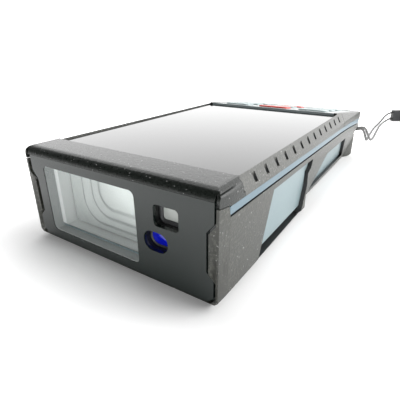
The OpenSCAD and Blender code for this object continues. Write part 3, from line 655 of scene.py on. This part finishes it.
def ring_piece(name, rows, material):
    """A closed ring swept through rows, which are outlines in x and z, each at its own y."""
    bm = bmesh.new()
    rings = [[bm.verts.new(Vector((x, y, z)) * MM) for x, z in points] for points, y in rows]
    count = len(rings[0])
    for a, b in zip(rings, rings[1:] + rings[:1]):
        for j in range(count):
            m = (j + 1) % count
            bm.faces.new((a[j], a[m], b[m], b[j]))
    bmesh.ops.recalc_face_normals(bm, faces=bm.faces)
    return dress(finished(name, bm, ROUND_ANGLE), material)


def front_of(node_name, margin):
    """Front depth, centre and size of a pane seen from the lens end, less a margin."""
    low, high = (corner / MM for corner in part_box(node_name))
    return (low.y, (low.x + high.x) / 2, (low.z + high.z) / 2,
            high.x - low.x - 2 * margin, high.z - low.z - 2 * margin)


def bezel(name, node_name, margin, wall, inner_radius, stand):
    """A ring on the front of a pane, with its inner edge sloping back to the pane."""
    pane_y, cx, cz, width, height = front_of(node_name, margin)
    outer = rounded_outline(cx, cz, width, height, inner_radius + wall)
    crest = rounded_outline(cx, cz, width - wall, height - wall, inner_radius + wall / 2)
    inner = rounded_outline(cx, cz, width - 2 * wall, height - 2 * wall, inner_radius)
    back = pane_y - HAIR
    rows = ((outer, back), (outer, back - stand * 0.8), (crest, back - stand), (inner, back - 0.1),
            (inner, back))
    return ring_piece(name, rows, DARK)


def shroud(name, node_name, margin, wall, radius, material=BLACK_SLEEVE_AND_SHADE, near=None, distant=None):
    """A sleeve that lines an opening from the back of the plate to its pane.

    near and distant, when given, are depths behind the lens end.
    """
    pane_y, cx, cz, width, height = front_of(node_name, margin)
    outer = rounded_outline(cx, cz, width + 2 * wall, height + 2 * wall, radius + wall)
    inner = rounded_outline(cx, cz, width, height, radius)
    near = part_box("front_plate")[1].y / MM + HAIR if near is None else front_y / MM + near
    distant = pane_y - HAIR if distant is None else front_y / MM + distant
    rows = ((outer, distant), (outer, near), (inner, near), (inner, distant))
    return ring_piece(name, rows, material)


linings = [
    shroud("camera_shroud", "camera_window", 0.38, 0.3, 1.0),
    shroud("laser_shroud", "laser_lens", 0.28, 0.3, 2.5),
    shroud("window_liner", "receiver_window", 1.3, 0.25, 1.3, FROST, 0.7, 7.1),
    bezel("camera_bezel", "camera_window", 0.4, 0.9, 0.7, 0.5),
    bezel("laser_bezel", "laser_lens", 0.3, 0.5, 2.0, 0.3),
]
print("bezels and sleeves:", len(linings))

# %% [markdown]
# ## Receiver lens
# Behind the clear window stands a moulded collecting lens: rounded steps, one on another. Their
# brightness is painted light that each vertex carries: a painted glow towards the upper corner
# where they gather light, painted shade on the shoulders and low down, and a painted highlight
# streak. A height field over the window's outline gives those steps their soft shoulders.

# %% Receiver lens
LENS_STEPS = (  # left, low, corner radius, rise: the steps run out of sight to the right and up
    (-17.2, 6.4, 7.0, 0.9),
    (-12.2, 9.6, 6.5, 0.8),
    (-8.4, 13.0, 5.0, 0.6),
)
SHOULDER = 2.0          # width of a step's soft shoulder
LENS_CELLS = (110, 66)
LENS_SETBACK = 2.4      # from the front of the lens's place to its lowest step
LENS_RIM = 1.0          # thickness of the lens at its lowest step
# The painted glow on the lens centres here and fades out over the reach below.
PAINTED_GLOW_AT = (6.0, 21.5)   # where the lens is brightest
PAINTED_GLOW_REACH = (15.0, 13.0)


def lens_step(x, z):
    """Height of the lens at a place, and how far the place is down a step's shoulder."""
    rise, slope = 0.0, 0.0
    for left, low, radius, height in LENS_STEPS:
        dx, dz = left + radius - x, low + radius - z
        outside = math.hypot(max(dx, 0), max(dz, 0)) + min(max(dx, dz), 0) - radius
        t = min(max(0.5 - outside / SHOULDER, 0), 1)
        rise += height * t * t * (3 - 2 * t)
        slope = max(slope, 4 * t * (1 - t))
    return rise, slope


def painted_lens_light(x, z, slope):
    """Painted light: pale, painted shade on the shoulders and low down, a painted streak and glow.
    """
    painted_glow = max(0.0, 1 - math.hypot((x - PAINTED_GLOW_AT[0]) / PAINTED_GLOW_REACH[0],
                                   (z - PAINTED_GLOW_AT[1]) / PAINTED_GLOW_REACH[1]))
    painted_shade_low = min(max((11.5 - z) / 9.0, 0), 1)
    painted_streak = math.exp(-((z - 8.2) / 0.35) ** 2) * min(max((x - 2.0) / 5.0, 0), 1)
    return min(max(0.62 + 0.6 * painted_glow - 0.2 * slope - 0.22 * painted_shade_low + 0.3 * painted_streak, 0), 1)


lens_low, lens_high = (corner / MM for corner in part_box("receiver_lens"))
bm = bmesh.new()
painted_light_tone = bm.verts.layers.float.new("painted_light_tone")
cols, rows = LENS_CELLS
face_y = lens_low.y + LENS_SETBACK
back_y = face_y + LENS_RIM
grid = []
for j in range(rows + 1):
    row = []
    for i in range(cols + 1):
        x = lens_low.x + (lens_high.x - lens_low.x) * i / cols
        z = lens_low.z + (lens_high.z - lens_low.z) * j / rows
        rise, slope = lens_step(x, z)
        spot = bm.verts.new(Vector((x, face_y - rise, z)) * MM)
        # Each vertex carries its painted light and shade.
        spot[painted_light_tone] = painted_lens_light(x, z, slope)
        row.append(spot)
    grid.append(row)
for j in range(rows):
    for i in range(cols):
        bm.faces.new((grid[j][i], grid[j][i + 1], grid[j + 1][i + 1], grid[j + 1][i]))
rim = (grid[0] + [row[-1] for row in grid[1:]] + grid[-1][-2::-1]
       + [row[0] for row in grid[-2:0:-1]])
behind = [bm.verts.new((v.co.x, back_y * MM, v.co.z)) for v in rim]
for k in range(len(rim)):
    m = (k + 1) % len(rim)
    bm.faces.new((rim[k], behind[k], behind[m], rim[m]))
bm.faces.new(behind)
bmesh.ops.recalc_face_normals(bm, faces=bm.faces)
lens_piece = dress(finished("receiver_lens_steps", bm, 60), LENS)
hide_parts("receiver_lens")
print("lens faces:", len(lens_piece.data.polygons))

# %% [markdown]
# ## Marks on the keys
# The keys carry simple pad-printed signs: a plus, a minus, a ring, a dot row and so on. Each sign
# is a closed sheet a few hundredths of a millimetre thick, laid in the plane of its key's face.

# %% Key marks
MARK_T = 0.04


def level(face):
    """Height of a sloping face's plane where it crosses the middle of the unit."""
    return face.center.z + face.normal.y / face.normal.z * face.center.y


def key_face(key_name):
    """Centre and normal of a key's upper face, from its highest upward polygons."""
    up = [f for f in nodes[key_name].data.polygons if f.normal.z > 0.9]
    crest = max(level(f) for f in up)
    top = [f for f in up if abs(level(f) - crest) < 0.05 * MM]
    area = sum(f.area for f in top)
    centre = sum((f.center * f.area for f in top), Vector()) / area
    return centre, top[0].normal.copy()


def bar_sheet(width, height, x=0.0, y=0.0):
    return [(x - width / 2, y - height / 2), (x + width / 2, y - height / 2),
            (x + width / 2, y + height / 2), (x - width / 2, y + height / 2)]


def disc_sheet(radius, x=0.0, y=0.0, sides=28, start=0.0):
    return [(x + radius * math.cos(start + 2 * math.pi * k / sides),
             y + radius * math.sin(start + 2 * math.pi * k / sides)) for k in range(sides)]


def arc_sheet(radius, width, first, last, sides=26):
    """An open ring from one angle to another, in degrees."""
    turns = [math.radians(first + (last - first) * k / sides) for k in range(sides + 1)]
    outer, inner = ([(reach * math.cos(t), reach * math.sin(t)) for t in turns]
                    for reach in (radius + width / 2, radius - width / 2))
    return outer + inner[::-1]


KEY_MARKS = {
    "measure_key": [disc_sheet(1.5, sides=3, start=math.pi / 2)],
    "soft_key_left": [bar_sheet(3.4, 0.7)],
    "soft_key_right": [bar_sheet(3.4, 0.7)],
    "minus_key": [bar_sheet(2.6, 0.6)],
    "plus_key": [bar_sheet(2.6, 0.6), bar_sheet(0.6, 0.95, 0, 0.8), bar_sheet(0.6, 0.95, 0, -0.8)],
    "function_key": [disc_sheet(0.4, x) for x in (-1.5, 0, 1.5)],
    "clear_key": [arc_sheet(1.3, 0.5, 40, 320)],
    "power_key": [arc_sheet(1.3, 0.5, 125, 415), bar_sheet(0.5, 1.4, 0, 1.2)],
    "camera_key": [arc_sheet(1.5, 0.4, 0, 359.9), disc_sheet(0.6)],
}
for key_name, sheets in KEY_MARKS.items():
    centre, normal = key_face(key_name)
    across = Vector((1, 0, 0))
    ahead = normal.cross(across)
    bm = bmesh.new()
    for sheet in sheets:
        low = [bm.verts.new(centre + (across * x + ahead * y) * MM) for x, y in sheet]
        high = [bm.verts.new(v.co + normal * MARK_T * MM) for v in low]
        bm.faces.new(low[::-1])
        bm.faces.new(high)
        for k in range(len(sheet)):
            m = (k + 1) % len(sheet)
            bm.faces.new((low[k], low[m], high[m], high[k]))
    bmesh.ops.recalc_face_normals(bm, faces=bm.faces)
    dress(finished(key_name + "_mark", bm), INK, key_name)
print("marked keys:", len(KEY_MARKS))

# %% [markdown]
# ## Things that repeat
# Two small Geometry Nodes trees make everything that comes in rows. One lays arched threads or
# ribs in a line, each tipped a little by a seeded random value; the other stacks rings into the
# turns of a screw thread. Each result is frozen to a plain mesh before it joins the model.

# %% Trees for rows and rings
def tree_with(name, sockets):
    """An empty geometry tree with those named inputs and its group input and output nodes."""
    tree = bpy.data.node_groups.new(name, "GeometryNodeTree")
    for label, kind in sockets:
        tree.interface.new_socket(label, in_out="INPUT", socket_type=kind)
    tree.interface.new_socket("Geometry", in_out="OUTPUT", socket_type="NodeSocketGeometry")
    given = tree.nodes.new("NodeGroupInput")
    return tree, {label: Wire(tree, given.outputs[label]) for label, _ in sockets}


def close_tree(tree, shapes, material):
    """Realises the instances, gives them their material and sends them out."""
    real = node(tree, "GeometryNodeRealizeInstances", None, {0: shapes})
    painted = node(tree, "GeometryNodeSetMaterial", None, {"Geometry": real, "Material": material})
    out = tree.nodes.new("NodeGroupOutput")
    tree.links.new(painted.socket, out.inputs[0])
    return tree


def row_tree():
    """Arched threads in a line: Low, Crest and High are the ends and the middle of one thread."""
    tree, given = tree_with("row_of_threads", [
        ("Count", "NodeSocketInt"), ("Step", "NodeSocketVector"), ("Low", "NodeSocketVector"),
        ("Crest", "NodeSocketVector"), ("High", "NodeSocketVector"),
        ("Radius", "NodeSocketFloat"), ("Tip", "NodeSocketFloat"), ("Seed", "NodeSocketInt"),
        ("Material", "NodeSocketMaterial")])
    line = node(tree, "GeometryNodeMeshLine", {"mode": "OFFSET"},
                {"Count": given["Count"], "Offset": given["Step"]})
    arch = node(tree, "GeometryNodeCurveQuadraticBezier", None,
                {"Resolution": 8, "Start": given["Low"], "Middle": given["Crest"],
                 "End": given["High"]})
    round_profile = node(tree, "GeometryNodeCurvePrimitiveCircle", None,
                         {"Resolution": 8, "Radius": given["Radius"]})
    thread = node(tree, "GeometryNodeCurveToMesh", None,
                  {"Curve": arch, "Profile Curve": round_profile, "Fill Caps": True})
    tipped = node(tree, "FunctionNodeRandomValue", {"data_type": "FLOAT_VECTOR"},
                  {0: (-1.0, -1.0, -1.0), 1: (1.0, 1.0, 1.0), "Seed": given["Seed"]})
    turn = node(tree, "ShaderNodeVectorMath", {"operation": "SCALE"},
                {0: tipped, "Scale": given["Tip"]})
    placed = node(tree, "GeometryNodeInstanceOnPoints", None,
                  {"Points": line, "Instance": thread, "Rotation": turn})
    return close_tree(tree, placed, given["Material"])


def ring_tree():
    """Rings stacked along Z, for the turns of a thread."""
    tree, given = tree_with("stack_of_rings", [
        ("Count", "NodeSocketInt"), ("Step", "NodeSocketVector"), ("Radius", "NodeSocketFloat"),
        ("Ridge", "NodeSocketFloat"), ("Material", "NodeSocketMaterial")])
    line = node(tree, "GeometryNodeMeshLine", {"mode": "OFFSET"},
                {"Count": given["Count"], "Offset": given["Step"]})
    ring = node(tree, "GeometryNodeCurvePrimitiveCircle", None,
                {"Resolution": 48, "Radius": given["Radius"]})
    ridge = node(tree, "GeometryNodeCurvePrimitiveCircle", None,
                 {"Resolution": 6, "Radius": given["Ridge"]})
    turn = node(tree, "GeometryNodeCurveToMesh", None, {"Curve": ring, "Profile Curve": ridge})
    placed = node(tree, "GeometryNodeInstanceOnPoints", None, {"Points": line, "Instance": turn})
    return close_tree(tree, placed, given["Material"])


def grown(name, tree, values, at, body="housing"):
    """Runs a tree with those values, freezes the mesh, places it by matrix and dresses it."""
    holder = bpy.data.objects.new(name + "_seed", bpy.data.meshes.new(name + "_seed"))
    bpy.context.scene.collection.objects.link(holder)
    modifier = holder.modifiers.new("grow", "NODES")
    modifier.node_group = tree
    keys = {item.name: item.identifier for item in tree.interface.items_tree
            if item.in_out == "INPUT"}
    for label, value in values.items():
        modifier[keys[label]] = value
    view = holder.evaluated_get(bpy.context.evaluated_depsgraph_get())
    mesh = bpy.data.meshes.new_from_object(view)
    holder.modifiers.remove(modifier)
    bpy.data.objects.remove(holder)
    mesh.name = name
    mesh.transform(at)
    mesh.polygons.foreach_set("use_smooth", [True] * len(mesh.polygons))
    piece = bpy.data.objects.new(name, mesh)
    bpy.context.scene.collection.objects.link(piece)
    return dress(piece, values["Material"], body)


ROW, RINGS = row_tree(), ring_tree()
print("trees:", ROW.name, RINGS.name)

# %% [markdown]
# The loop's two ends are sewn together beside the slider, in two rows on each face. The stop pin
# has finger ribs across its outer face, and the tripod insert shows its thread.

# %% Stitches, ribs and thread turns
def frame_at(origin, x_axis, z_axis):
    """A matrix with its origin and two of its axes given."""
    x = Vector(x_axis).normalized()
    z = (Vector(z_axis) - x * x.dot(Vector(z_axis))).normalized()
    return Matrix.Translation(origin) @ Matrix((x, z.cross(x), z)).transposed().to_4x4()


STITCH_PITCH = 0.95
FIRST_STITCH = 1.2      # from the end of the webbing
STITCH_ROW = 2.2        # height of a row above and below the middle of the webbing
start, ahead = Vector(LOOP_ROUTE[0]) * MM, (Vector(LOOP_ROUTE[1]) - Vector(LOOP_ROUTE[0]))
face_out = Vector((ahead.y, -ahead.x, 0)).normalized()
grown_rows = 0
for side in (1, -1):
    for height in (-STITCH_ROW, STITCH_ROW):
        origin = (start + ahead.normalized() * FIRST_STITCH * MM
                  + face_out * side * WEB_T / 2 * MM)
        at = frame_at(origin + Vector((0, 0, height * MM)), ahead, face_out * side)
        grown("loop_stitches_%d" % grown_rows, ROW,
              {"Count": 6, "Step": (STITCH_PITCH * MM, 0, 0), "Low": (0, 0, -0.05 * MM),
               "Crest": (0.36 * MM, 0, 0.3 * MM), "High": (0.72 * MM, 0, -0.05 * MM),
               "Radius": 0.11 * MM, "Tip": 0.05, "Seed": 11 + grown_rows, "Material": THREAD},
              at)
        grown_rows += 1

RIB_PITCH = 1.2
RIB_HALF = 2.4
pin_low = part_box("stop_pin")[0]
grown("pin_ribs", ROW,
      {"Count": 6, "Step": (0, RIB_PITCH * MM, 0), "Low": (-RIB_HALF * MM, 0, -0.1 * MM),
       "Crest": (0, 0, 0.3 * MM), "High": (RIB_HALF * MM, 0, -0.1 * MM), "Radius": 0.22 * MM,
       "Tip": 0.0, "Seed": 3, "Material": DARK},
      Matrix.Translation((0, pin_low.y + 2.4 * MM, pin_low.z + 0.02 * MM))
      @ Matrix.Rotation(math.pi, 4, "Y"), "stop_pin")

bore_low, bore_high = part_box("tripod_insert")
THREAD_PITCH = 1.27     # a quarter-inch camera thread has twenty turns to the inch
turns = int((bore_high.z - bore_low.z) / MM / THREAD_PITCH)
grown("insert_thread", RINGS,
      {"Count": turns, "Step": (0, 0, THREAD_PITCH * MM), "Radius": BORE_R * MM,
       "Ridge": 0.3 * MM, "Material": BRASS},
      Matrix.Translation(((bore_low.x + bore_high.x) / 2, (bore_low.y + bore_high.y) / 2,
                          bore_low.z + 0.6 * MM)))
print("stitch rows:", grown_rows, "thread turns:", turns)

# %% [markdown]
# ## Parts that stay plain
# Every node of the frame gets a finish, even one that a softened copy stands in for. The inner
# parts keep their plain shapes, because they are seen only when the unit comes apart.

# %% Plain CAD parts and their finishes
CAD_FINISH = {
    "lower_shell": BLUE, "upper_shell": BLACK_SHELL, "accent_band": BAND, "usb_flap": BLUE,
    "front_bumper": BAR_RUBBER, "tail_frame": RUBBER, "lower_overmould": RUBBER,
    "grip_rail_right": RUBBER, "grip_rail_left": RUBBER, "front_plate": PLATE,
    "receiver_lens": LENS, "measure_key": RED_KEY, "power_key": RED_KEY,
    "soft_key_left": GREY_KEY, "soft_key_right": GREY_KEY, "minus_key": GREY_KEY,
    "function_key": GREY_KEY, "plus_key": GREY_KEY, "clear_key": GREY_KEY,
    "camera_key": GREY_KEY, "stop_pin": DARK, "strap_slider": DARK, "strap_cord": BRAID,
    "wrist_loop": WEBBING, "housing_seal": SEAL_RUBBER, "window_gasket": SEAL_RUBBER,
    "display_gasket": SEAL_RUBBER, "battery_pad": SEAL_RUBBER, "receiver_window": CLEAR,
    "camera_window": EYE, "camera_module": DARK, "laser_lens": BLUE_LENS,
    "laser_barrel": BRASS, "laser_diode": BRASS, "tripod_insert": BRASS,
    "optics_carrier": PALE, "receiver_board": BOARD, "receiver_sensor": DARK,
    "display_glass": GLASS, "lcd_module": DARK, "backlight": PALE, "display_flex": AMBER,
    "main_board": BOARD, "board_screws": STEEL, "shield_can": STEEL, "buzzer": DARK,
    "keypad_fascia": FASCIA, "keypad_board": BOARD, "key_domes": STEEL,
    "battery_pack": BATTERY, "usb_socket": STEEL, "pin_axle": STEEL, "strap_bar": STEEL,
    "housing_screws": SCREW, "rating_label": LABEL,
}
for node_name, material in CAD_FINISH.items():
    mesh = nodes[node_name].data
    mesh.materials.clear()
    mesh.materials.append(material)
print("CAD nodes finished:", len(CAD_FINISH))

# %% [markdown]
# The cord starts at the bar in the rear corner and the loop at the slider, and the slider travels
# with both. The lengths of both routes are computed again here.

route_length(cord_line)
route_length(loop_line)
print("cords declared:", cord_piece.name, loop_piece.name)

# %% [markdown]
# ## Studio
# The object lies on a wide white floor under three soft panels. The floor glows a little, more
# with distance from the unit, so its far part stays white while the part near the unit keeps a
# soft shadow. The lens plate mirrors that floor.

# %% Floor and lights
FLOOR_GLOW = 0.8
FLOOR_DROP = 0.0002     # the floor lies this far under the unit, so that they don't flicker
GLOW_FULL = 40.0        # millimetres from the footprint to the full glow


def distance_from_footprint(finish):
    """How far a place on the floor is from the unit's footprint, in millimetres."""
    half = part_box("lower_overmould")[1]
    across, along, _ = split_wire(finish.place)
    beyond = []
    for off, reach in ((across, half.x), (along, half.y)):
        past = off.math("ABSOLUTE", off) - reach
        beyond.append(past.math("MAXIMUM", past, 0.0) / MM)
    total = beyond[0] * beyond[0] + beyond[1] * beyond[1]
    return total.math("SQRT", total)


def stage_floor(size, colour):
    bm = bmesh.new()
    half = size / 2
    corners = ((-half, -half), (half, -half), (half, half), (-half, half))
    bm.faces.new([bm.verts.new((x, y, -FLOOR_DROP)) for x, y in corners])
    floor = finished("studio_floor", bm)
    finish = Finish("studio_floor", colour, 0.9, Specular_IOR_Level=0.1)
    away = distance_from_footprint(finish)
    finish.feed("Emission Color", mix_colour(finish.tree, (away + 2.0).over(GLOW_FULL),
                                             grey(0.0), grey(1.0)))
    finish.shader.inputs["Emission Strength"].default_value = FLOOR_GLOW
    floor.data.materials.append(finish.material)


def soft_box(name, at, aim, size, watts):
    """A square panel light that the camera doesn't see."""
    data = bpy.data.lights.new(name, "AREA")
    data.shape = "RECTANGLE"
    data.size = size
    data.size_y = size
    data.energy = watts
    lamp = bpy.data.objects.new(name, data)
    lamp.location = at
    lamp.rotation_euler = (Vector(aim) - Vector(at)).to_track_quat("-Z", "Y").to_euler()
    lamp.visible_camera = False
    bpy.context.scene.collection.objects.link(lamp)


stage_floor(8.0, (0.86, 0.86, 0.86))
soft_box("top_panel", (-0.1, 0.35, 1.1), (0, 0, 0), 1.1, 3)
soft_box("front_panel", (0.35, -0.9, 0.3), (0, -0.1, 0.0), 0.5, 4)
soft_box("side_panel", (0.7, 0.35, 0.42), (0, 0.02, 0.01), 0.7, 8)
print("panels:", len(bpy.data.lights))

# %% [markdown]
# The surroundings are a white room that is bright at the back and near the horizon, and dark
# above the lens end. The glass mirrors the bright part; the rolled front edge mirrors the dark.

# %% Surroundings
BRIGHT = 2.4
DIM = 0.07
BACK_WAY = Vector((-0.2, 0.98, 0.0))
world = bpy.data.worlds.new("studio")
world.use_nodes = True
sky = world.node_tree
toward_x, toward_y, height = split_wire(node(sky, "ShaderNodeTexCoord", output=0))
facing = toward_x * BACK_WAY.x + toward_y * BACK_WAY.y


def ramp_between(value, low, high):
    """0 below low, 1 above high, smooth between."""
    return node(value.tree, "ShaderNodeMapRange", {"interpolation_type": "SMOOTHSTEP"},
                {0: value, 1: low, 2: high})


to_back = ramp_between(facing, 0.0, 0.4)
near_horizon = 1.0 - ramp_between(height, 0.04, 0.2)
high = ramp_between(height, 0.45, 0.9)
lit = height.math("MAXIMUM", to_back * (1.0 - high * 0.6), near_horizon * 0.45)
strength = lit * (BRIGHT - DIM) + DIM
background = sky.nodes["Background"]
background.inputs[0].default_value = (1, 1, 1, 1)
sky.links.new(strength.socket, background.inputs[1])
bpy.context.scene.world = world
bpy.context.scene.view_settings.view_transform = "Standard"
print("surroundings from", DIM, "to", BRIGHT)
